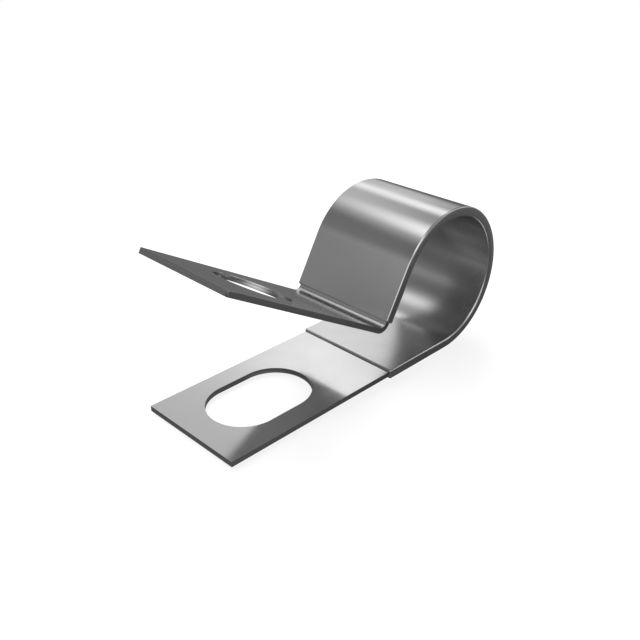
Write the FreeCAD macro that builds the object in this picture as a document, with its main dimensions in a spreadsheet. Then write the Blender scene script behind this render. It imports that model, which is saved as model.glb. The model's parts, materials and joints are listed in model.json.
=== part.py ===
# A p clip that holds a cable or a pipe. One strip of thin sheet steel is bent
# into an open loop with two feet, and a thin jacket wraps the strip all round
# the loop. A screw goes down through the round hole of the upper foot and the
# slot of the lower foot, and closes the loop as it is tightened.
#
# Lengths are in millimetres and angles in degrees. X runs along the cable,
# across the strip. Y runs along the feet, from their tips towards the loop.
# Z points up. The origin is the centre of the loop, on the cable's axis.
import FreeCAD, Part
import math
import os
import Sketcher

NODES = ("strap", "loop_jacket")

# The two ends of an edge in a sketch, and the centre of an arc.
START, END, CENTRE = 1, 2, 3

# The origin of a sketch, and the first edge that a sketch borrows from the solid.
ORIGIN = (-1, START)
BORROWED = -3


# Driving dimensions

SIZES = (
    # the strip that the strap is bent from
    ("strap_width", 12.7),
    ("strap_thickness", 0.6),
    # the loop, as the clip hangs open before its screw is tightened
    ("bore_radius", 7.35),
    ("floor_length", 9.4),       # flat of the jacket, from its end to below the loop's centre
    ("front_length", 6.2),       # flat of the loop's front, from the loop to the fold
    ("front_lean", 30.0),        # lean of that front from upright
    # the jacket on the loop
    ("jacket_wall", 0.225),
    ("jacket_edge_radius", 0.15),
    ("jacket_stop", 0.05),       # bare strap between the jacket and the fold
    # the feet
    ("fold_radius", 0.7),        # inside radius of the fold from the loop to the upper foot
    ("upper_foot_length", 21.9),
    ("upper_foot_rise", 30.0),   # rise of the open foot from level
    ("lower_foot_length", 21.65),
    ("fixing_from_tip", 8.9),    # centre of the hole, and of the slot, from the tip of its foot
    ("hole_diameter", 7.94),
    ("slot_width", 7.94),
    ("slot_length", 11.9),
)

# Radii about the loop's centre, from the bore outwards
INNER_FACE = "sizes.bore_radius + sizes.jacket_wall"
OUTER_FACE = INNER_FACE + " + sizes.strap_thickness"
JACKET_INSIDE = "sizes.bore_radius"
JACKET_OUTSIDE = OUTER_FACE + " + sizes.jacket_wall"

# Distance along the floor from the loop's centre to the tip of the lower foot
TIP_DISTANCE = "sizes.floor_length + sizes.lower_foot_length"


def make_sheet(document):
    """Puts the driving dimensions in a spreadsheet, each under its own name."""
    sheet = document.addObject("Spreadsheet::Sheet", "sizes")
    for row, (name, value) in enumerate(SIZES, start=1):
        sheet.set(f"A{row}", name)
        sheet.set(f"B{row}", str(value))
        sheet.setAlias(f"B{row}", name)
    document.recompute()
    return sheet


def vector(length, angle):
    """A vector in the plane of a sketch, from its length and its angle."""
    return FreeCAD.Vector(length * math.cos(math.radians(angle)), length * math.sin(math.radians(angle)), 0)


def arc(centre, radius, first, last):
    """An arc that runs anticlockwise from the first angle to the last."""
    circle = Part.Circle(centre, FreeCAD.Vector(0, 0, 1), radius)
    return Part.ArcOfCircle(circle, math.radians(first), math.radians(last))


def constrain(sketch, kind, *places):
    """Adds a constraint that has no size."""
    sketch.addConstraint(Sketcher.Constraint(kind, *places))


def dimension(sketch, name, expression, kind, *places):
    """Adds a constraint whose size follows an expression of the driving dimensions."""
    size = sketch.evalExpression(expression)
    if kind == "Angle":
        size = math.radians(size)
    index = sketch.addConstraint(Sketcher.Constraint(kind, *places, size))
    sketch.renameConstraint(index, name)
    sketch.setExpression("Constraints." + name, expression)


def new_sketch(body, name, support, role=None):
    """A sketch on a face of a body's last feature, or on the origin plane that has the given role."""
    sketch = body.newObject("Sketcher::SketchObject", name)
    if role:
        planes = [item for item in body.Origin.OriginFeatures if item.Role == role]
        support = (planes[0], [""])
    sketch.AttachmentSupport = [support]
    sketch.MapMode = "FlatFace"
    body.Document.recompute()
    return sketch


def new_feature(body, kind, name, sketch, length, symmetric=False):
    """A pad or a pocket of a sketch, with its length bound to an expression."""
    feature = body.newObject("PartDesign::" + kind, name)
    feature.Profile = sketch
    if symmetric:
        feature.SideType = "Symmetric"
    feature.setExpression("Length", length)
    body.Document.recompute()
    return feature


# Side profiles

def draw_loop_side(sketch, name, radius, floor, front):
    """Draws one face of the bent strip in side view: the floor, the loop and the front."""
    across = sketch.evalExpression(radius)
    lean = sketch.evalExpression("sizes.front_lean")
    middle = FreeCAD.Vector(0, 0, 0)
    below = FreeCAD.Vector(0, -across, 0)
    loop_end = vector(across, 180 - lean)
    floor_start = below - FreeCAD.Vector(sketch.evalExpression(floor), 0, 0)
    front_foot = loop_end - vector(sketch.evalExpression(front), 90 - lean)
    floor_line = sketch.addGeometry(Part.LineSegment(floor_start, below))
    loop_arc = sketch.addGeometry(arc(middle, across, -90, 180 - lean))
    front_line = sketch.addGeometry(Part.LineSegment(front_foot, loop_end))
    constrain(sketch, "Horizontal", floor_line)
    constrain(sketch, "Coincident", loop_arc, CENTRE, *ORIGIN)
    constrain(sketch, "Tangent", floor_line, END, loop_arc, START)
    constrain(sketch, "Tangent", loop_arc, END, front_line, END)
    dimension(sketch, name + "_radius", radius, "Radius", loop_arc)
    return floor_line, front_line


def draw_loop_section(sketch, inner, outer, floor, front):
    """Draws both faces of a strip round the loop and closes them at the floor and at the front."""
    outer_floor, outer_front = draw_loop_side(sketch, "outer", outer, floor, front)
    inner_floor, inner_front = draw_loop_side(sketch, "inner", inner, floor, front)
    points = {}
    for line in (outer_floor, outer_front, inner_floor, inner_front):
        points[line] = sketch.Geometry[line].StartPoint
    for outer_line, inner_line in ((outer_floor, inner_floor), (outer_front, inner_front)):
        end = sketch.addGeometry(Part.LineSegment(points[outer_line], points[inner_line]))
        constrain(sketch, "Coincident", outer_line, START, end, START)
        constrain(sketch, "Coincident", inner_line, START, end, END)
        constrain(sketch, "Perpendicular", outer_line, end)
    constrain(sketch, "Parallel", outer_front, inner_front)
    dimension(sketch, "floor", floor, "DistanceX", outer_floor, START, *ORIGIN)
    dimension(sketch, "front", front, "Distance", outer_front)
    dimension(sketch, "front_slope", "90 - sizes.front_lean", "Angle", outer_front)


def draw_strap(sketch):
    """Draws the whole strap in side view, from the tip of one foot round to the tip of the other."""
    front = "sizes.front_length"
    outer_floor, outer_front = draw_loop_side(sketch, "outer", OUTER_FACE, TIP_DISTANCE, front)
    inner_floor, inner_front = draw_loop_side(sketch, "inner", INNER_FACE, TIP_DISTANCE, front)
    lean = sketch.evalExpression("sizes.front_lean")
    rise = sketch.evalExpression("sizes.upper_foot_rise")
    inside = sketch.evalExpression("sizes.fold_radius")
    outside = inside + sketch.evalExpression("sizes.strap_thickness")
    foot = vector(sketch.evalExpression("sizes.upper_foot_length"), 180 - rise)

    # The fold turns about a centre in front of the loop.
    fold_centre = sketch.Geometry[outer_front].StartPoint + vector(inside, 180 - lean)
    folds = []
    faces = []
    for radius, front_line in ((inside, outer_front), (outside, inner_front)):
        fold = sketch.addGeometry(arc(fold_centre, radius, 270 - rise, 360 - lean))
        foot_start = fold_centre + vector(radius, 270 - rise)
        face = sketch.addGeometry(Part.LineSegment(foot_start, foot_start + foot))
        constrain(sketch, "Tangent", fold, END, front_line, START)
        constrain(sketch, "Tangent", fold, START, face, START)
        folds.append(fold)
        faces.append(face)

    # Each foot ends square.
    floor_points = [sketch.Geometry[line].StartPoint for line in (outer_floor, inner_floor)]
    foot_points = [sketch.Geometry[line].EndPoint for line in faces]
    lower_tip = sketch.addGeometry(Part.LineSegment(*floor_points))
    upper_tip = sketch.addGeometry(Part.LineSegment(*foot_points))
    constrain(sketch, "Coincident", outer_floor, START, lower_tip, START)
    constrain(sketch, "Coincident", inner_floor, START, lower_tip, END)
    constrain(sketch, "Coincident", faces[0], END, upper_tip, START)
    constrain(sketch, "Coincident", faces[1], END, upper_tip, END)
    constrain(sketch, "Vertical", lower_tip)
    constrain(sketch, "Perpendicular", faces[0], upper_tip)

    constrain(sketch, "Coincident", folds[0], CENTRE, folds[1], CENTRE)
    constrain(sketch, "Parallel", outer_front, inner_front)
    constrain(sketch, "Parallel", *faces)
    dimension(sketch, "fold_radius", "sizes.fold_radius", "Radius", folds[0])
    dimension(sketch, "front", front, "Distance", outer_front)
    dimension(sketch, "front_slope", "90 - sizes.front_lean", "Angle", outer_front)
    dimension(sketch, "upper_foot", "sizes.upper_foot_length", "Distance", faces[0])
    dimension(sketch, "upper_foot_slope", "180 - sizes.upper_foot_rise", "Angle", faces[0])
    dimension(sketch, "tip", TIP_DISTANCE, "DistanceX", outer_floor, START, *ORIGIN)


# Holes in the feet

def foot_face(feature, direction):
    """The flat face of a foot that looks along a direction, and its edge at the foot's tip."""
    flats = []
    for index, face in enumerate(feature.Shape.Faces, start=1):
        if face.Surface.TypeId == "Part::GeomPlane" and face.normalAt(0, 0).isEqual(direction, 1e-6):
            flats.append((face.Area, index, face))
    area, face_index, face = max(flats, key=lambda flat: flat[:2])
    tip = min(face.Edges, key=lambda edge: edge.CenterOfMass.y)
    names = [f"Edge{index}" for index, edge in enumerate(feature.Shape.Edges, start=1) if edge.isSame(tip)]
    return f"Face{face_index}", names[0]


def new_fixing_sketch(body, feature, name, direction):
    """A sketch on a foot, with a centre line that runs from the middle of the tip to the fixing's centre."""
    face, edge = foot_face(feature, direction)
    sketch = new_sketch(body, name, (feature, [face]))
    sketch.addExternal(feature.Name, edge)
    tip = sketch.ExternalGeo[-1]
    middle = (tip.StartPoint + tip.EndPoint) / 2
    inwards = (-middle).normalize()
    fixing = middle + inwards * sketch.evalExpression("sizes.fixing_from_tip")
    centre_line = sketch.addGeometry(Part.LineSegment(middle, fixing), True)
    constrain(sketch, "Symmetric", BORROWED, START, BORROWED, END, centre_line, START)
    constrain(sketch, "Perpendicular", centre_line, BORROWED)
    dimension(sketch, "from_tip", "sizes.fixing_from_tip", "Distance", centre_line)
    return sketch, centre_line, inwards


def punch_slot(body, feature):
    """Punches the slot through the lower foot, along the strap."""
    sketch, centre_line, inwards = new_fixing_sketch(body, feature, "slot_outline", FreeCAD.Vector(0, 0, 1))
    radius = sketch.evalExpression("sizes.slot_width / 2")
    between = "sizes.slot_length - sizes.slot_width"
    reach = inwards * sketch.evalExpression(between) / 2
    side = FreeCAD.Vector(-inwards.y, inwards.x, 0) * radius
    turn = math.degrees(math.atan2(inwards.y, inwards.x))
    near = sketch.Geometry[centre_line].EndPoint - reach
    far = sketch.Geometry[centre_line].EndPoint + reach
    near_arc = sketch.addGeometry(arc(near, radius, turn + 90, turn + 270))
    right = sketch.addGeometry(Part.LineSegment(near - side, far - side))
    far_arc = sketch.addGeometry(arc(far, radius, turn - 90, turn + 90))
    left = sketch.addGeometry(Part.LineSegment(far + side, near + side))
    for first, second in ((near_arc, right), (right, far_arc), (far_arc, left), (left, near_arc)):
        constrain(sketch, "Tangent", first, END, second, START)
    constrain(sketch, "Equal", near_arc, far_arc)
    constrain(sketch, "Symmetric", near_arc, CENTRE, far_arc, CENTRE, centre_line, END)
    constrain(sketch, "PointOnObject", near_arc, CENTRE, centre_line)
    dimension(sketch, "radius", "sizes.slot_width / 2", "Radius", near_arc)
    dimension(sketch, "length", between, "Distance", near_arc, CENTRE, far_arc, CENTRE)
    return new_feature(body, "Pocket", "slot", sketch, "sizes.strap_thickness")


def punch_hole(body, feature):
    """Punches the round hole through the upper foot."""
    rise = math.radians(float(body.Document.sizes.upper_foot_rise))
    up = FreeCAD.Vector(0, math.sin(rise), math.cos(rise))
    sketch, centre_line, inwards = new_fixing_sketch(body, feature, "hole_outline", up)
    radius = sketch.evalExpression("sizes.hole_diameter / 2")
    middle = sketch.Geometry[centre_line].EndPoint
    circle = sketch.addGeometry(Part.Circle(middle, FreeCAD.Vector(0, 0, 1), radius))
    constrain(sketch, "Coincident", circle, CENTRE, centre_line, END)
    dimension(sketch, "diameter", "sizes.hole_diameter", "Diameter", circle)
    return new_feature(body, "Pocket", "hole", sketch, "sizes.strap_thickness")


# The two pieces

def make_strap(document):
    """The steel strap: one strip, bent to its side profile, with a fixing hole in each foot."""
    body = document.addObject("PartDesign::Body", "strap")
    profile = new_sketch(body, "strap_profile", None, "YZ_Plane")
    draw_strap(profile)
    strip = new_feature(body, "Pad", "strip", profile, "sizes.strap_width", symmetric=True)
    slotted = punch_slot(body, strip)
    punch_hole(body, slotted)
    return body


def make_jacket(document):
    """The jacket: a closed skin of even thickness round the strap, from the floor to the fold."""
    body = document.addObject("PartDesign::Body", "loop_jacket")
    front = "sizes.front_length - sizes.jacket_stop"
    profile = new_sketch(body, "jacket_profile", None, "YZ_Plane")
    draw_loop_section(profile, JACKET_INSIDE, JACKET_OUTSIDE, "sizes.floor_length", front)
    width = "sizes.strap_width + 2 * sizes.jacket_wall"
    block = new_feature(body, "Pad", "jacket_block", profile, width, symmetric=True)

    # Every outside edge is rounded, as far as the wall allows.
    rounded = body.newObject("PartDesign::Fillet", "rounded_edges")
    rounded.Base = (block, ["Face1"])
    rounded.UseAllEdges = True
    rounded.setExpression("Radius", "min(sizes.jacket_edge_radius; 0.9 * sizes.jacket_wall)")
    document.recompute()

    # The strap fills the passage through the jacket.
    passage = new_sketch(body, "passage_profile", None, "YZ_Plane")
    draw_loop_section(passage, INNER_FACE, OUTER_FACE, "sizes.floor_length", front)
    new_feature(body, "Pocket", "passage", passage, "sizes.strap_width", symmetric=True)
    return body


def check(document, bodies):
    """Stops the run if any object failed, or if a piece isn't one sound solid."""
    for item in document.Objects:
        if "Invalid" in item.State or "Error" in item.State:
            raise RuntimeError(f"{item.Label} failed: {item.State}")
    for body in bodies:
        shape = body.Shape
        if shape.isNull() or not shape.isValid() or len(shape.Solids) != 1:
            raise RuntimeError(f"{body.Label} isn't one valid solid")


def main():
    document = FreeCAD.newDocument("p_clip")
    make_sheet(document)
    bodies = (make_strap(document), make_jacket(document))
    for body, label in zip(bodies, NODES):
        body.Label = label
    document.recompute()
    check(document, bodies)
    os.makedirs("parts", exist_ok=True)
    for body in bodies:
        body.Shape.exportStep(f"parts/{body.Label}.step")
        box = body.Shape.BoundBox
        print(f"{body.Label}: {body.Shape.Volume:.2f} mm3, {box.XLength:.2f} x {box.YLength:.2f} x {box.ZLength:.2f} mm")


main()
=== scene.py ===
# %% [markdown]
# # A steel p clip, from flat strip to picture
#
# A p clip holds a cable or hose against a panel. It is one strip of sheet steel: two flat feet that
# a screw pulls together, and between them a round loop for the cable. Round the loop the strip wears
# a thin steel jacket with rounded edges, so that no sharp edge touches the cable.
#
# This notebook dresses a finished construction model. The model gives the sizes and the place of
# every part. Blender gives what a construction model lacks: broken edges, a rolled finish, cut
# edges, and a small studio that makes bright steel look like steel.

import json
import math

import bmesh
import bpy
from mathutils import Matrix, Vector


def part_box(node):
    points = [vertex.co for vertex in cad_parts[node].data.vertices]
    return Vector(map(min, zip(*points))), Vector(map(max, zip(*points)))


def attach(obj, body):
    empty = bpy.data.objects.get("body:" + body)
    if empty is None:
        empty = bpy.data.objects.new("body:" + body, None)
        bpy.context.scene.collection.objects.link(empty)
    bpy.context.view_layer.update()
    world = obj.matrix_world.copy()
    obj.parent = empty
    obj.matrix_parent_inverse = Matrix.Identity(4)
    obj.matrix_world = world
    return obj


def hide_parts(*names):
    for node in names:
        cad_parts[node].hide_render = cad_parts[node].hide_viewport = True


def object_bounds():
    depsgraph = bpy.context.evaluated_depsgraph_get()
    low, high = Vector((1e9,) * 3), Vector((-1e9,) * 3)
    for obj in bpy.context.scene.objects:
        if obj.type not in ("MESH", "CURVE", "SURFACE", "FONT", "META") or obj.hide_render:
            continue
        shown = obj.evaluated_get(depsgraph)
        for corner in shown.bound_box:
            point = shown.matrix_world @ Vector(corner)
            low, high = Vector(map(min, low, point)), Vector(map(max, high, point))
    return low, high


# %% [markdown]
# ## The construction model
#
# The model comes in as a fixed frame with two parts, the strap and the loop's jacket. Everything
# below is in metres in that same frame: x runs across the strap, y along its feet, and z is up. The
# box of the bare model is kept here, because the dressed clip has to stay inside it.

# %% Load the model
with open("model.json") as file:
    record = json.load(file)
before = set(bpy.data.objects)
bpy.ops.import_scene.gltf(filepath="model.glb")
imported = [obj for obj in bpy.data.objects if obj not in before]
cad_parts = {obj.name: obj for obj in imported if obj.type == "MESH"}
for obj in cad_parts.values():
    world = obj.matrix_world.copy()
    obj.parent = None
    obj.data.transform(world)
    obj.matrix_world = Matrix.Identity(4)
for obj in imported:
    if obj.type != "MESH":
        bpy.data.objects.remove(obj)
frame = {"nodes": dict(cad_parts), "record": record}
CAD_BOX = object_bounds()
MM = 0.001
print("parts in the model:", sorted(frame["nodes"]))
print("size in mm:", [round(v / MM, 2) for v in CAD_BOX[1] - CAD_BOX[0]])

# %% [markdown]
# ## The line that the strip follows
#
# The real clip is punched out of flat strip and then bent over a round former. The same order works
# in Blender: make the flat blank, then bend it. So every point gets a place on the blank first: `u`
# is how far along the strip it is, `x` how far across, and `w` how far above the middle of the
# sheet, on the side that will face the cable. `bend` turns that place into a point of the clip.
#
# A curve with a bevel would give the bent strip as well, but not its openings. Bending a blank keeps
# the sheet equally thick everywhere, and a pattern that is drawn on the blank follows the metal
# round the loop, as rolling marks do on the real strip.
#
# What the model holds is read from it, so the dressed clip can't drift away from the solids: the
# widths from the boxes round its two parts, and the loop and the openings from its record. The
# other lengths are the model's own driving dimensions.

# %% Sizes of the strip
strap_low, strap_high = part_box("strap")
jacket_low, jacket_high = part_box("loop_jacket")
mounts = {mount["name"]: mount for mount in frame["record"]["mounts"]}
loop, hole, slot = mounts["cable_loop"], mounts["upper_foot_hole"], mounts["lower_foot_slot"]
STRIP_WIDTH = strap_high[0] - strap_low[0]
STRIP_THICKNESS = hole["dims"]["length_mm"] * MM
JACKET_WALL = (jacket_high[0] - jacket_low[0] - STRIP_WIDTH) / 2
LOOP_RADIUS = loop["dims"]["r_mm"] * MM + JACKET_WALL + STRIP_THICKNESS / 2  # middle of the sheet
LOOP_TURN = math.radians(240)
STRAIGHT_RUN = -strap_low[1]  # the lower foot and the floor under the cable
FRONT_RUN = 6.2 * MM
FOLD_RADIUS = 1.0 * MM  # middle of the sheet
FOLD_TURN = math.radians(90)
UPPER_RUN = 21.9 * MM
LOOP_START = STRAIGHT_RUN
FRONT_START = LOOP_START + LOOP_RADIUS * LOOP_TURN
FOLD_START = FRONT_START + FRONT_RUN
UPPER_START = FOLD_START + FOLD_RADIUS * FOLD_TURN
BLANK_LENGTH = UPPER_START + UPPER_RUN
print("the strip is", round(STRIP_WIDTH / MM, 3), "mm wide and", round(STRIP_THICKNESS / MM, 3), "thick")
print("the flat blank is", round(BLANK_LENGTH / MM, 2), "mm long")

# %% [markdown]
# `bend` walks the strip run by run. On a straight run a point moves along the heading. On a bend it
# turns about the bend's centre, and the side of the sheet that lies nearer to that centre gets the
# smaller radius.


# %% Bend the blank
def heading(angle):
    return Vector((0, math.cos(angle), math.sin(angle)))


LOOP_END = LOOP_TURN - math.pi / 2
FRONT_HEADING = LOOP_END + math.pi / 2
FRONT_CORNER = heading(LOOP_END) * LOOP_RADIUS
FOLD_CORNER = FRONT_CORNER + heading(FRONT_HEADING) * FRONT_RUN
FOLD_FACING = FRONT_HEADING + math.pi / 2
FOLD_CENTRE = FOLD_CORNER - heading(FOLD_FACING) * FOLD_RADIUS
UPPER_FACING = FOLD_FACING - FOLD_TURN
UPPER_CORNER = FOLD_CENTRE + heading(UPPER_FACING) * FOLD_RADIUS
UPPER_HEADING = FRONT_HEADING - FOLD_TURN


def bend(u, x, w):
    if u <= LOOP_START:
        point = Vector((0, u - LOOP_START, w - LOOP_RADIUS))
    elif u <= FRONT_START:
        point = heading((u - LOOP_START) / LOOP_RADIUS - math.pi / 2) * (LOOP_RADIUS - w)
    elif u <= FOLD_START:
        point = FRONT_CORNER + heading(FRONT_HEADING) * (u - FRONT_START)
        point -= heading(LOOP_END) * w
    elif u <= UPPER_START:
        facing = FOLD_FACING - (u - FOLD_START) / FOLD_RADIUS
        point = FOLD_CENTRE + heading(facing) * (FOLD_RADIUS + w)
    else:
        point = UPPER_CORNER + heading(UPPER_HEADING) * (u - UPPER_START)
        point += heading(UPPER_FACING) * w
    point.x = x
    return point


tip = bend(BLANK_LENGTH, 0, -STRIP_THICKNESS / 2)
print("upper tip, top edge, in mm:", [round(v / MM, 2) for v in tip])

# %% [markdown]
# ## The flat blank
#
# The blank is a plate with a long slot near one end and a round hole near the other. The openings
# could be cut with a Boolean, but that leaves thin slivers, which show as kinks in bright metal. So
# each foot is laid out as a ring of faces between the opening and the plate's outline, which keeps
# the rim of the opening smooth. Between the feet the plate is cut across into narrow strips, close
# together where it will bend.

# %% Openings
FIXING_FROM_TIP = slot["pos_m"][1] - strap_low[1]
OPENING_RADIUS = slot["dims"]["hole_r_mm"] * MM
SLOT_HALF_RUN = slot["dims"]["slot_length_mm"] / 2 * MM - OPENING_RADIUS
FOOT_PLATE = 2 * FIXING_FROM_TIP
print("each opening is", round(2 * OPENING_RADIUS / MM, 2), "mm wide")


def rim_distance(angle, half_run):
    """How far the rim of an opening lies from its centre, in a direction seen from there."""
    along, across = abs(math.cos(angle)), abs(math.sin(angle))
    if across > 0 and OPENING_RADIUS / across * along <= half_run:
        return OPENING_RADIUS / across
    half = half_run * along
    return half + math.sqrt(half * half - half_run**2 + OPENING_RADIUS**2)


def outline_distance(angle):
    """The same for the outline of the foot's plate."""
    along, across = abs(math.cos(angle)), abs(math.sin(angle))
    ways = ((FOOT_PLATE / 2, along), (STRIP_WIDTH / 2, across))
    return min(half / part for half, part in ways if part > 0)


# %% Lay out the feet
RIM_POINTS = 96


def foot_plate(blank, centre, half_run):
    """A ring of faces round an opening that is centred this far along the strip."""
    corner = math.atan2(STRIP_WIDTH, FOOT_PLATE)
    turns = [corner, math.pi - corner, math.pi + corner, 2 * math.pi - corner]
    angles = sorted(turns + [2 * math.pi * k / RIM_POINTS for k in range(RIM_POINTS)])
    rings = []
    for distance in (lambda a: rim_distance(a, half_run), outline_distance):
        ring = []
        for angle in angles:
            far = distance(angle)
            place = (centre + far * math.cos(angle), far * math.sin(angle), 0)
            ring.append(blank.verts.new(place))
        rings.append(ring)
    inner, outer = rings
    for k in range(len(angles)):
        n = (k + 1) % len(angles)
        blank.faces.new((inner[k], outer[k], outer[n], inner[n]))


blank = bmesh.new()
foot_plate(blank, FIXING_FROM_TIP, SLOT_HALF_RUN)
foot_plate(blank, BLANK_LENGTH - FIXING_FROM_TIP, 0)
print("faces in the two feet:", len(blank.faces))

# %% [markdown]
# The middle of the blank joins the two feet. Its first and last strip share the points along the
# feet's ends, so the plate is one closed sheet.

# %% Middle of the blank
LOOP_STEPS = 120
FOLD_STEPS = 18
SAME_LINE = 0.001 * MM  # points that differ by less than this along the blank are on one line


def steps(start, end, count):
    return [start + (end - start) * k / count for k in range(count + 1)]


def edge_points(blank, u):
    """The points of the blank on the line across it at this place, from one side to the other."""
    return sorted((v for v in blank.verts if abs(v.co.x - u) < SAME_LINE), key=lambda v: v.co.y)


cuts = steps(LOOP_START, FRONT_START, LOOP_STEPS) + steps(FOLD_START, UPPER_START, FOLD_STEPS)
row = edge_points(blank, FOOT_PLATE)
for u in cuts:
    new_row = [blank.verts.new((u, side * STRIP_WIDTH / 2, 0)) for side in (-1, 1)]
    blank.faces.new(row + new_row[::-1])
    row = new_row
blank.faces.new(row + edge_points(blank, BLANK_LENGTH - FOOT_PLATE)[::-1])
bmesh.ops.recalc_face_normals(blank, faces=blank.faces[:])
print("faces in the flat blank:", len(blank.faces))

# %% [markdown]
# ## Thickness and broken edges
#
# Punching leaves an edge that looks sharp but never is: tumbling the finished clips takes off the
# last few hundredths of a millimetre. That tiny round is what catches a thin line of light. Here
# the sheet gets its thickness, and then every square edge is rounded. Both are done while the blank
# is flat, where all its walls stand square, as they do under the punch.

# %% Give the blank its thickness
EDGE_BREAK = 0.015 * MM
BREAK_STEPS = 3
SQUARE = 1.0  # radians: where two faces meet at more than this, the edge is a square one
grown = bmesh.ops.extrude_face_region(blank, geom=blank.faces[:], use_keep_orig=True)
lifted = [g for g in grown["geom"] if isinstance(g, bmesh.types.BMVert)]
for v in blank.verts:
    v.co.z = -STRIP_THICKNESS / 2
for v in lifted:
    v.co.z = STRIP_THICKNESS / 2
bmesh.ops.recalc_face_normals(blank, faces=blank.faces[:])
square = [e for e in blank.edges if len(e.link_faces) == 2 and e.calc_face_angle() > SQUARE]
bmesh.ops.bevel(
    blank,
    geom=square,
    offset=EDGE_BREAK,
    segments=BREAK_STEPS,
    profile=0.5,
    affect="EDGES",
    clamp_overlap=True,
)
print("edges rounded:", len(square))

# %% [markdown]
# ## From blank to clip
#
# Each point remembers its place on the flat blank in an attribute, so that the finish can be drawn
# there. Then it moves to where bending puts it. That swaps two of the blank's ways, which turns the
# faces inside out, and the sign of the volume shows when they have to be turned back. A modifier
# that weighs each face by its size keeps the large faces looking flat beside their small rounds.
#
# The walls that the punch cut get a second material, and the wall of the round hole a third. The
# walls are easy to tell while the blank is flat: they are the faces that look sideways.


# %% Turn a blank into a piece
def finish_blank(blank, name, place_of):
    mesh = bpy.data.meshes.new(name)
    places = [v.co.copy() for v in blank.verts]
    for v in blank.verts:
        v.co = place_of(*v.co)
    bmesh.ops.recalc_face_normals(blank, faces=blank.faces[:])
    if blank.calc_volume(signed=True) < 0:
        bmesh.ops.reverse_faces(blank, faces=blank.faces[:])
    print(name, "holds", round(blank.calc_volume(signed=True) / MM**3, 1), "cubic mm of steel")
    for face in blank.faces:
        face.smooth = True
    blank.to_mesh(mesh)
    blank.free()
    remembered = mesh.attributes.new("blank_place", "FLOAT_VECTOR", "POINT")
    remembered.data.foreach_set("vector", [c for p in places for c in p])
    piece = bpy.data.objects.new(name, mesh)
    bpy.context.scene.collection.objects.link(piece)
    even = piece.modifiers.new("flat faces stay flat", "WEIGHTED_NORMAL")
    even.mode = "FACE_AREA"
    even.weight = 100
    even.keep_sharp = False
    return piece


# %% Bend the strap
CUT_WALL, HOLE_WALL = 1, 2
SIDEWAYS = 0.3  # a face whose normal rises less than this is a wall
hole_middle = Vector((BLANK_LENGTH - FIXING_FROM_TIP, 0, 0))
for face in blank.faces:
    if abs(face.normal.z) < SIDEWAYS:
        from_hole = (face.calc_center_median() - hole_middle).length
        face.material_index = HOLE_WALL if from_hole < FIXING_FROM_TIP / 2 else CUT_WALL
strap = finish_blank(blank, "strap_body", bend)
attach(strap, "root")
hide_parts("strap")
print("strap:", len(strap.data.polygons), "faces")

# %% [markdown]
# ## The jacket round the loop
#
# The jacket wraps the strip on all four sides from just before the loop, round it, and almost to
# the fold. Its section is a rounded frame, and both its ends are rounded off a little more. These
# rounds draw the thin bright lines along the loop, so they are real geometry here. The jacket is
# swept along the same line as the strip: one ring of points after another, each bent into place. A
# curve with a bevel could sweep the section as well, but it couldn't round off the ends.
#
# Towards an end the section shrinks a little from ring to ring. The last rings follow a quarter of
# a circle, and that makes the rounded end.

# %% Sizes of the jacket
JACKET_LEAD = 9.4 * MM  # how far before the loop the jacket starts
SHORT_OF_FOLD = 0.05 * MM
JACKET_START = LOOP_START - JACKET_LEAD
JACKET_END = FOLD_START - SHORT_OF_FOLD
JACKET_ROUND = 0.15 * MM
END_ROUND = 0.2 * MM
LEAST_ROUND = 0.01 * MM  # the corners keep this much round where the ends have shrunk most
ROUND_STEPS = 6
print("the jacket covers", round((JACKET_END - JACKET_START) / MM, 2), "mm of the strip")


# %% Sections of the jacket
def jacket_ring(u, inset):
    """The jacket's outer section, drawn in from its full size by the inset."""
    radius = max(JACKET_ROUND - inset, LEAST_ROUND)
    half_x = STRIP_WIDTH / 2 + JACKET_WALL - inset - radius
    half_w = STRIP_THICKNESS / 2 + JACKET_WALL - inset - radius
    ring = []
    for quarter in range(4):
        sign_x = (1, -1, -1, 1)[quarter]
        sign_w = (1, 1, -1, -1)[quarter]
        for k in range(ROUND_STEPS + 1):
            angle = math.pi / 2 * (quarter + k / ROUND_STEPS)
            x = sign_x * half_x + radius * math.cos(angle)
            w = sign_w * half_w + radius * math.sin(angle)
            ring.append((u, x, w))
    return ring


def passage_ring(u):
    """The way through the jacket, which the strip fills."""
    x, w = STRIP_WIDTH / 2, STRIP_THICKNESS / 2
    return [(u, x, w), (u, -x, w), (u, -x, -w), (u, x, -w)]


def join_rings(jacket, a, b):
    for k in range(len(a)):
        n = (k + 1) % len(a)
        jacket.faces.new((a[k], a[n], b[n], b[k]))


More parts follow.
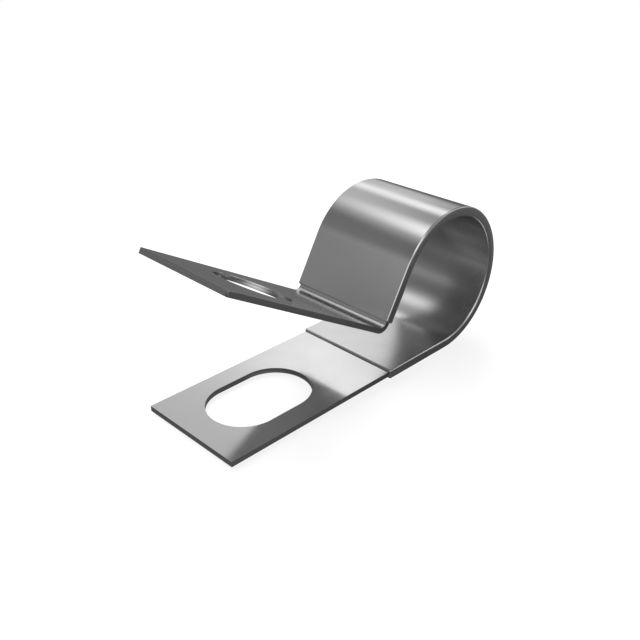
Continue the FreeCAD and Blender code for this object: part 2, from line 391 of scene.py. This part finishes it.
# %% Sweep the jacket
jacket = bmesh.new()
quarter_turn = steps(0, math.pi / 2, ROUND_STEPS)
loop_cuts = steps(LOOP_START, FRONT_START, LOOP_STEPS)
stations = [
    (JACKET_START + END_ROUND * (1 - math.cos(t)), END_ROUND * (1 - math.sin(t)))
    for t in quarter_turn
]
stations += [(u, 0) for u in loop_cuts]
stations += [
    (JACKET_END - END_ROUND * (1 - math.sin(t)), END_ROUND * (1 - math.cos(t)))
    for t in quarter_turn
]
outside = [[jacket.verts.new(p) for p in jacket_ring(u, inset)] for u, inset in stations]
passage_cuts = [JACKET_START] + loop_cuts + [JACKET_END]
inside = [[jacket.verts.new(p) for p in passage_ring(u)] for u in passage_cuts]
for rings in (outside, inside):
    for a, b in zip(rings, rings[1:]):
        join_rings(jacket, a, b)
for outer, inner in ((outside[0], inside[0]), (outside[-1], inside[-1])):
    for quarter in range(4):
        corner = outer[quarter * (ROUND_STEPS + 1) : (quarter + 1) * (ROUND_STEPS + 1)]
        following = outer[((quarter + 1) * (ROUND_STEPS + 1)) % len(outer)]
        jacket.faces.new(corner + [inner[quarter]])
        jacket.faces.new((corner[-1], following, inner[(quarter + 1) % 4], inner[quarter]))
print("rings along the jacket:", len(outside))

# %% Bend the jacket
sleeve = finish_blank(jacket, "loop_jacket_body", bend)
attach(sleeve, "root")
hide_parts("loop_jacket")
print("jacket:", len(sleeve.data.polygons), "faces")

# %% [markdown]
# ## Colours and nodes
#
# A colour is written as the six digits that a paint chart or a picture editor shows. Blender works
# with linear light, so one function turns the digits into linear numbers. Another adds one node
# with its settings and links, so that each material below reads as a list of what it is made of.


# %% Colour and node helpers
def linear(hex_code):
    parts = [int(hex_code[i : i + 2], 16) / 255 for i in (1, 3, 5)]
    return [p / 12.92 if p <= 0.04045 else ((p + 0.055) / 1.055) ** 2.4 for p in parts] + [1]


def add_node(tree, kind, settings=None, links=None):
    """Adds one node: settings are its own properties or its inputs' values, links feed its inputs."""
    node = tree.nodes.new("ShaderNode" + kind)
    for key, value in (settings or {}).items():
        if isinstance(key, str) and hasattr(node, key):
            setattr(node, key, value)
        else:
            node.inputs[key].default_value = value
    for key, output in (links or {}).items():
        tree.links.new(output, node.inputs[key])
    return node


def new_material(name):
    material = bpy.data.materials.new(name)
    material.use_nodes = True
    material.node_tree.nodes.clear()
    return material, material.node_tree


# %% [markdown]
# ## Bright rolled steel
#
# Strip steel gets its skin from polished rolls. The rolls leave it nearly mirror bright, with a
# roughness of 0.1 to 0.15, very fine lines along the strip, and small differences in gloss where oil
# or a finger has been. Clean steel gives back about six tenths of the light, alike in all colours.
#
# Real rolling lines are a few thousandths of a millimetre apart. They are drawn here about 0.12 mm
# apart, so that a picture of this size can just show them. A picture of brushed metal could be laid
# on instead, but it would stretch at the bends. Noise that is drawn out along the blank doesn't.


# %% Patterns on the blank
def place_on_blank(tree):
    return add_node(tree, "Attribute", {"attribute_name": "blank_place"}).outputs["Vector"]


def drawn_lines(tree, place, size):
    """Noise whose grains have this size along the blank, across it and through it."""
    stretched = add_node(tree, "Mapping", {"Scale": [1 / s for s in size]}, {"Vector": place})
    grains = add_node(
        tree,
        "TexNoise",
        {"Scale": 1.0, "Detail": 2.0, "Roughness": 0.5},
        {"Vector": stretched.outputs["Vector"]},
    )
    return grains.outputs["Fac"]


# %% [markdown]
# Forming dulls the bright skin in two places. The outside of a tight fold is stretched, which
# roughens it. The inside of the jacket is rubbed by the former that it is bent round. So each steel
# gets one dull zone: the way it is measured on the blank, its middle, its reach, and how much
# rougher it is. Its edge is soft, because the wear fades out.

# %% Dull zones
ZONE_BLUR = 0.2  # half the width of the soft edge, as a share of the reach


def dulling(tree, place, zone):
    """How much roughness the zone adds at each place."""
    way, middle, reach, rougher = zone
    parts = add_node(tree, "SeparateXYZ", {}, {"Vector": place})
    offset = add_node(tree, "Math", {"operation": "SUBTRACT", 1: middle}, {0: parts.outputs[way]})
    away = add_node(tree, "Math", {"operation": "ABSOLUTE"}, {0: offset.outputs["Value"]})
    worn = add_node(
        tree,
        "MapRange",
        {
            "interpolation_type": "SMOOTHSTEP",
            "From Min": reach * (1 + ZONE_BLUR),
            "From Max": reach * (1 - ZONE_BLUR),
            "To Max": rougher,
        },
        {"Value": away.outputs["Value"]},
    )
    return worn.outputs["Result"]


# %% Rolled steel
STEEL = "#CFCFCF"
ROLL_LINE = 0.12 * MM
ROLL_DEPTH = 0.002 * MM
LINE_STRETCH = 50  # how much longer than wide a rolling line is
LINE_SHARE = 0.35  # of the lines in the gloss, beside the patches
GLOSS_PATCH = 4.0 * MM
DARKEST_PATCH = 0.93
MIX_LOW, MIX_HIGH = 0.45, 0.9  # the mix of patches and lines lies between these nearly everywhere


def rolled_steel(name, smooth, rough, relief, dull_zone):
    """The roughness runs from smooth to rough with the pattern, and the dull zone adds to it."""
    material, tree = new_material(name)
    place = place_on_blank(tree)
    lines = drawn_lines(tree, place, (LINE_STRETCH * ROLL_LINE, ROLL_LINE, ROLL_LINE))
    patches = add_node(
        tree,
        "TexNoise",
        {"Scale": 1 / GLOSS_PATCH, "Detail": 3.0, "Roughness": 0.55},
        {"Vector": place},
    )
    mix = add_node(
        tree,
        "Math",
        {"operation": "MULTIPLY_ADD", 1: LINE_SHARE},
        {0: lines, 2: patches.outputs["Fac"]},
    )
    gloss = add_node(
        tree,
        "MapRange",
        {"From Min": MIX_LOW, "From Max": MIX_HIGH, "To Min": smooth, "To Max": rough},
        {"Value": mix.outputs["Value"]},
    )
    skin = add_node(
        tree,
        "Math",
        {"operation": "ADD"},
        {0: gloss.outputs["Result"], 1: dulling(tree, place, dull_zone)},
    )
    darkest = [c * DARKEST_PATCH for c in linear(STEEL)[:3]] + [1]
    tint = add_node(
        tree,
        "MixRGB",
        {"Color1": linear(STEEL), "Color2": darkest},
        {"Fac": patches.outputs["Fac"]},
    )
    bump = add_node(tree, "Bump", {"Strength": relief, "Distance": ROLL_DEPTH}, {"Height": lines})
    shader = add_node(
        tree,
        "BsdfPrincipled",
        {"Metallic": 1.0},
        {
            "Base Color": tint.outputs["Color"],
            "Roughness": skin.outputs["Value"],
            "Normal": bump.outputs["Normal"],
        },
    )
    add_node(tree, "OutputMaterial", {}, {"Surface": shader.outputs["BSDF"]})
    return material


# %% The two steels
FOLD_MIDDLE = (FOLD_START + UPPER_START) / 2
FOLD_SPREAD = 0.3 * MM  # the stretched skin runs on a little past the fold
FOLD_REACH = (UPPER_START - FOLD_START) / 2 + FOLD_SPREAD
INNER_FACE = STRIP_THICKNESS / 2 + JACKET_WALL
RUB_DEPTH = 0.06 * MM
stretched_fold = ("X", FOLD_MIDDLE, FOLD_REACH, 0.13)
rubbed_inside = ("Z", INNER_FACE, RUB_DEPTH, 0.1)
strap_skin = rolled_steel("bright_rolled_strip_steel", 0.1, 0.15, 0.1, stretched_fold)
jacket_skin = rolled_steel("polished_jacket_steel", 0.1, 0.15, 0.04, rubbed_inside)
print("the fold is dull over", round(2 * FOLD_REACH / MM, 2), "mm of the strip")

# %% [markdown]
# ## Cut walls
#
# Where the punch went through, it pressed the wall nearly as smooth as the faces and tore short
# fine lines straight through the sheet. Torn steel gives back less light, so the wall is a darker
# grey. That keeps the rim of each opening easy to see against the bright face. The tears could be
# cut as real grooves, but they are too fine to be seen one by one, so the same stretched noise draws
# them, this time through the sheet.
#
# The round hole's wall is a lighter grey than the other cut walls, nearly up to the faces. That
# lighter copy of the wall material paints part of the glint's brightness, a painted highlight. It gets
# a third material, and shows a glint where the slot shows only grey.

# %% Punched wall
TEAR_LINE = 0.15 * MM
TEAR_STRETCH = 20  # how much longer than wide a torn line is
TEAR_DEPTH = 0.003 * MM
TEAR_RELIEF = 0.05
WALL_SMOOTH, WALL_ROUGH = 0.13, 0.17
NOISE_LOW, NOISE_HIGH = 0.3, 0.7  # a noise lies between these nearly everywhere


def punched_wall(name, colour):
    material, tree = new_material(name)
    place = place_on_blank(tree)
    tears = drawn_lines(tree, place, (TEAR_LINE, TEAR_LINE, TEAR_STRETCH * TEAR_LINE))
    gloss = add_node(
        tree,
        "MapRange",
        {
            "From Min": NOISE_LOW,
            "From Max": NOISE_HIGH,
            "To Min": WALL_SMOOTH,
            "To Max": WALL_ROUGH,
        },
        {"Value": tears},
    )
    bump = add_node(
        tree, "Bump", {"Strength": TEAR_RELIEF, "Distance": TEAR_DEPTH}, {"Height": tears}
    )
    shader = add_node(
        tree,
        "BsdfPrincipled",
        {"Metallic": 1.0, "Base Color": linear(colour)},
        {"Roughness": gloss.outputs["Result"], "Normal": bump.outputs["Normal"]},
    )
    add_node(tree, "OutputMaterial", {}, {"Surface": shader.outputs["BSDF"]})
    return material


# %% Give the pieces their materials
wall_skin = punched_wall("punched_steel_wall", "#A2A2A2")
# painted highlight: the round hole's wall is a lighter grey than the other cut walls, so that its glint
# shows brighter
glint_lightened_hole_skin = punched_wall("hole_wall_lightened_for_glint", "#B8B8B8")
for skin in (strap_skin, wall_skin, glint_lightened_hole_skin):
    strap.data.materials.append(skin)
sleeve.data.materials.append(jacket_skin)
for piece in (strap, sleeve):
    print(piece.name, "wears", [skin.name for skin in piece.data.materials])

# %% [markdown]
# ## Floor
#
# The clip stands on a white sheet. Lamps alone would have to be so bright to make it white that the
# steel would bleach. So most of the sheet's white is its own glow, which the camera and mirrors see
# and which lights nothing. The rest is lit by the lamps, and there the clip's shadow shows. Farther
# out, where no shadow falls, the glow takes over, so that the sheet runs into the white beyond it
# without a line.


# %% What the camera and mirrors see
def seen_directly(tree):
    """1 for rays from the camera, and for those that a mirror or a glass sends on."""
    path = add_node(tree, "LightPath")
    first = add_node(
        tree,
        "Math",
        {"operation": "MAXIMUM"},
        {0: path.outputs["Is Camera Ray"], 1: path.outputs["Is Glossy Ray"]},
    )
    both = add_node(
        tree,
        "Math",
        {"operation": "MAXIMUM"},
        {0: first.outputs["Value"], 1: path.outputs["Is Transmission Ray"]},
    )
    return both.outputs["Value"]


# %% White paper
PAPER = "#E6E6E6"
OWN_GLOW = 0.85
SHADOW_REACH = 80 * MM
PLAIN_FROM = 300 * MM

sheet, tree = new_material("white_paper")
geometry = add_node(tree, "NewGeometry")
away = add_node(tree, "VectorMath", {"operation": "LENGTH"}, {0: geometry.outputs["Position"]})
own = add_node(
    tree,
    "MapRange",
    {"From Min": SHADOW_REACH, "From Max": PLAIN_FROM, "To Min": OWN_GLOW, "To Max": 1.0},
    {"Value": away.outputs["Value"]},
)
share = add_node(
    tree, "Math", {"operation": "MULTIPLY"}, {0: seen_directly(tree), 1: own.outputs["Result"]}
)
matt = add_node(tree, "BsdfDiffuse", {"Color": linear(PAPER)})
glow = add_node(tree, "Emission", {"Strength": 1.0})
paper = add_node(
    tree,
    "MixShader",
    {},
    {0: share.outputs["Value"], 1: matt.outputs["BSDF"], 2: glow.outputs["Emission"]},
)
add_node(tree, "OutputMaterial", {}, {"Surface": paper.outputs["Shader"]})
print("the sheet is all glow from", round(PLAIN_FROM / MM), "mm outwards")

# %% Lay the floor
FLOOR_LEVEL = CAD_BOX[0].z
FLOOR_HALF = 3.0


def stage_piece(name, shape, material):
    mesh = bpy.data.meshes.new(name)
    shape.to_mesh(mesh)
    shape.free()
    mesh.materials.append(material)
    piece = bpy.data.objects.new(name, mesh)
    bpy.context.scene.collection.objects.link(piece)
    return piece


floor_shape = bmesh.new()
corners = [(-1, -1), (1, -1), (1, 1), (-1, 1)]
floor_shape.faces.new(
    [floor_shape.verts.new((x * FLOOR_HALF, y * FLOOR_HALF, FLOOR_LEVEL)) for x, y in corners]
)
stage_piece("floor", floor_shape, sheet)
print("the floor lies", round(-FLOOR_LEVEL / MM, 2), "mm under the loop's centre")

# %% [markdown]
# ## World
#
# Beyond the floor the camera sees plain white as well. The light that the world itself sends on
# the clip and the floor is a soft grey. One white background would do both, but it would also fill
# the shadow in.

# %% World
ROOM_LIGHT = 0.4
world = bpy.data.worlds.new("studio_room")
world.use_nodes = True
bpy.context.scene.world = world
tree = world.node_tree
tree.nodes.clear()
room_level = add_node(
    tree, "MapRange", {"To Min": ROOM_LIGHT, "To Max": 1.0}, {"Value": seen_directly(tree)}
)
room = add_node(
    tree, "Background", {"Color": (1, 1, 1, 1)}, {"Strength": room_level.outputs["Result"]}
)
add_node(tree, "OutputWorld", {}, {"Surface": room.outputs["Background"]})
print("light from the room:", ROOM_LIGHT)

# %% [markdown]
# ## Light tent
#
# Bright steel has hardly a colour of its own: it shows what stands round it. In an all white room
# it would look like chalk. So it is shot in a light tent, a small dome of cloth over a dark card.
# Lamps outside the tent make soft bright patches on the cloth, and these become the bright bands
# on the loop. The card gives the steel its dark sides. A picture of a real studio could be wrapped
# round the clip instead, but patches that each do one thing can be moved one by one.
#
# The tent is there for the steel only: the camera doesn't see it and it throws no shadow.
#
# The tone of the cloth and the card is set by direction, seen from the middle of the loop: first by
# height above level, then by the patches on top of that. A patch with a light below zero is a dark
# card that hangs before the cloth. No place gets darker than the least tone, so that the steel
# doesn't turn black from any side.
#
# - `back_glow` is the main light: the grey of the loop's outside and of the lower foot's tip.
# - `back_box` and `back_wall` make the bright stretch of the lower foot and the jacket's floor, and
#   the first bright line over the top of the loop.
# - `top_box` is the brightest band over the loop, and its mirror image inside the loop.
# - `dim_front` is the dark band below it, and the dark bands inside the loop and on the fold.
# - `front_low` lights the end of the upper foot and the far half of the loop's front.
# - `front_card` lights the underside of the upper foot, which the lower foot mirrors.
# - `front_box` draws the bright line along the front's near edge and the glint in the round hole,
#   and `right_wall` draws the line on along the loop's edges, over its top and inside it.
# - `right_box` and `edge_box` draw the thin line along the near edge of the jacket's floor.
# - `right_card` darkens the near side of the jacket a little, and `side_card` draws the bright line
#   on its inner edge where the floor turns up into the loop.
# - `back_middle` lightens the feet for whoever looks from straight in front.

# %% Tones and patches of the tent
LEAST_TONE = 0.08
TONES = [  # degrees above level, and how light it is there
    (-90, 0.02),
    (-15, 0.18),
    (-5, 0.15),
    (15, 0.14),
    (30, 0.26),
    (45, 0.22),
    (60, 0.28),
    (75, 0.45),
    (90, 0.05),
]
# Each patch: name, azimuth from +y towards +x, height, half width, half height, tilt (all in
# degrees), softness of its edge, light.
PATCHES = [
    ("back_box", -37, 42, 13, 7, 50, 0.8, 1.1),
    ("back_wall", -48, 16, 17, 14, -45, 0.35, 0.55),
    ("back_glow", -97, 42, 48, 16, 0, 0.4, 0.5),
    ("top_box", -114, 65, 17, 7, -15, 0.75, 1.3),
    ("dim_front", -102, 33, 52, 15, -25, 0.45, -0.5),
    ("front_low", -118, 6, 27, 12, -20, 0.2, 0.17),
    ("front_card", -159, -26, 16, 8, 30, 0.2, 0.17),
    ("front_box", 145, 22, 31, 15, 20, 0.9, 1.2),
    ("right_wall", 105, 38, 51, 12, 45, 0.5, 1.15),
    ("right_box", 45, 10, 31, 15, -30, 0.2, 0.45),
    ("edge_box", 42, 32, 11, 8, 0, 0.4, 1.3),
    ("back_middle", 10, 14, 24, 13, 0, 0.6, 0.35),
    ("right_card", 62, -28, 31, 13, -25, 0.25, -0.07),
    ("side_card", 67, -35, 24, 7, -30, 0.2, 0.8),
]
print("patches on the tent:", len(PATCHES))

# %% [markdown]
# A patch is an ellipse with a soft edge. The Mapping node carries each direction into the patch's
# own axes, where its edge is one unit away, so the distance there says how bright the cloth is.


# %% One patch
def direction(azimuth, height):
    a, h = math.radians(azimuth), math.radians(height)
    return Vector((math.sin(a) * math.cos(h), math.cos(a) * math.cos(h), math.sin(h)))


def patch_axes(azimuth, height, tilt):
    """The way a patch's width runs, the way its height runs, and the way from it to the clip."""
    out = direction(azimuth, height)
    level = direction(azimuth + 90, 0)
    axes = Matrix((level, level.cross(out), -out)).transposed()
    return axes @ Matrix.Rotation(math.radians(tilt), 3, "Z")


def patch_light(tree, outward, name, azimuth, height, wide, high, tilt, softness, light):
    """What a patch adds to the tone of the cloth, by the direction outward from the clip."""
    across, up = math.sin(math.radians(wide)), math.sin(math.radians(high))
    inside = add_node(
        tree,
        "Mapping",
        {
            "label": name,
            "vector_type": "TEXTURE",
            "Location": direction(azimuth, height),
            "Rotation": patch_axes(azimuth, height, tilt).to_euler(),
            "Scale": (across, up, max(across, up)),
        },
        {"Vector": outward},
    )
    distance = add_node(
        tree, "VectorMath", {"operation": "LENGTH"}, {0: inside.outputs["Vector"]}
    )
    patch = add_node(
        tree,
        "MapRange",
        {
            "interpolation_type": "SMOOTHSTEP",
            "From Min": 1 + softness,
            "From Max": 1 - softness,
            "To Max": light,
        },
        {"Value": distance.outputs["Value"]},
    )
    return patch.outputs["Result"]


# %% Cloth of the tent
cloth, tree = new_material("tent_cloth")
geometry = add_node(tree, "NewGeometry")
unit = add_node(tree, "VectorMath", {"operation": "NORMALIZE"}, {0: geometry.outputs["Position"]})
outward = unit.outputs["Vector"]
parts = add_node(tree, "SeparateXYZ", {}, {0: outward})
rise = add_node(tree, "MapRange", {"From Min": -1.0}, {"Value": parts.outputs["Z"]})
ramp = add_node(tree, "ValToRGB", {}, {"Fac": rise.outputs["Result"]})
while len(ramp.color_ramp.elements) < len(TONES):
    ramp.color_ramp.elements.new(0.5)
for stop, (height, tone) in zip(ramp.color_ramp.elements, TONES):
    stop.position = (math.sin(math.radians(height)) + 1) / 2
    stop.color = (tone, tone, tone, 1)
so_far = ramp.outputs["Color"]
for patch in PATCHES:
    total = add_node(
        tree, "Math", {"operation": "ADD"}, {0: so_far, 1: patch_light(tree, outward, *patch)}
    )
    so_far = total.outputs["Value"]
lit = add_node(tree, "Math", {"operation": "MAXIMUM", 1: LEAST_TONE}, {0: so_far})
glow = add_node(tree, "Emission", {}, {"Strength": lit.outputs["Value"]})
add_node(tree, "OutputMaterial", {}, {"Surface": glow.outputs["Emission"]})
print("nodes in the cloth:", len(tree.nodes))

# %% Put up the tent
TENT_RADIUS = 0.45
CARD_LEVEL = FLOOR_LEVEL + 0.05 * MM  # the card lies a hair above the floor
DOME_RINGS = 24
DOME_SIDES = 64
tent_shape = bmesh.new()
rings = []
for k in range(DOME_RINGS):
    height = math.pi / 2 * k / DOME_RINGS
    around = [2 * math.pi * n / DOME_SIDES for n in range(DOME_SIDES)]
    level_z = TENT_RADIUS * math.sin(height) if k else CARD_LEVEL
    reach = TENT_RADIUS * math.cos(height)
    rings.append(
        [tent_shape.verts.new((reach * math.sin(a), reach * math.cos(a), level_z)) for a in around]
    )
for low, high in zip(rings, rings[1:]):
    for n in range(DOME_SIDES):
        m = (n + 1) % DOME_SIDES
        tent_shape.faces.new((low[n], low[m], high[m], high[n]))
tent_shape.faces.new(rings[0])
tent_shape.faces.new(rings[-1])
tent = stage_piece("light_tent", tent_shape, cloth)
tent.visible_camera = False
tent.visible_shadow = False
tent.visible_diffuse = False
tent.visible_transmission = False
print("the tent is", round(2 * TENT_RADIUS, 2), "m across")

# %% [markdown]
# ## Lamps
#
# The lamps stand outside the tent. They light the floor and give the clip its soft shadow. The steel
# sees only the patches that they make on the cloth, so they are hidden from its reflections. Large
# square lamps are used because a small lamp would throw a hard shadow.


# %% Lamps
def soft_box(name, azimuth, height, distance, size, light):
    """A square lamp that faces the clip. Its light is what a white sheet facing it would show."""
    out = direction(azimuth, height)
    data = bpy.data.lights.new(name, "AREA")
    data.size = size
    data.energy = light * math.pi * distance**2 * math.pi
    lamp = bpy.data.objects.new(name, data)
    bpy.context.scene.collection.objects.link(lamp)
    lamp.location = out * distance
    lamp.rotation_mode = "QUATERNION"
    lamp.rotation_quaternion = out.to_track_quat("Z", "Y")
    lamp.visible_glossy = False
    print(name, "gives", round(data.energy, 1), "W")


soft_box("top_lamp", azimuth=-85, height=62, distance=0.6, size=0.5, light=2.2)
soft_box("back_lamp", azimuth=-45, height=33, distance=0.6, size=0.3, light=1.5)

# %% [markdown]
# ## Camera
#
# The camera stands where the picture was taken from: in front and to the side of the feet, and about
# 28 degrees above level. Its place and lens were found by matching about two hundred edge points.

# %% Camera
CAMERA_PLACE = Vector((54.084, -67.095, 39.136)) * MM
CAMERA_HEADING = math.radians(-45.2155)
CAMERA_DOWN = math.radians(28.4430)
CAMERA_ROLL = math.radians(-0.1695)
LENS = 46.233
SENSOR = 36.0
NEAREST, FARTHEST = 0.001, 20

lens = bpy.data.cameras.new("camera")
lens.lens = LENS
lens.sensor_width = SENSOR
lens.clip_start, lens.clip_end = NEAREST, FARTHEST
camera = bpy.data.objects.new("camera", lens)
bpy.context.scene.collection.objects.link(camera)
ahead = Vector(
    (
        math.sin(CAMERA_HEADING) * math.cos(CAMERA_DOWN),
        math.cos(CAMERA_HEADING) * math.cos(CAMERA_DOWN),
        -math.sin(CAMERA_DOWN),
    )
)
camera.location = CAMERA_PLACE
camera.rotation_mode = "QUATERNION"
turned = ahead.to_track_quat("-Z", "Y")
camera.rotation_quaternion = turned @ Matrix.Rotation(CAMERA_ROLL, 3, "Z").to_quaternion()
bpy.context.scene.camera = camera
bpy.context.scene.view_settings.view_transform = "Standard"
print("camera is", round((CAMERA_PLACE.length) / MM, 1), "mm from the loop's centre")
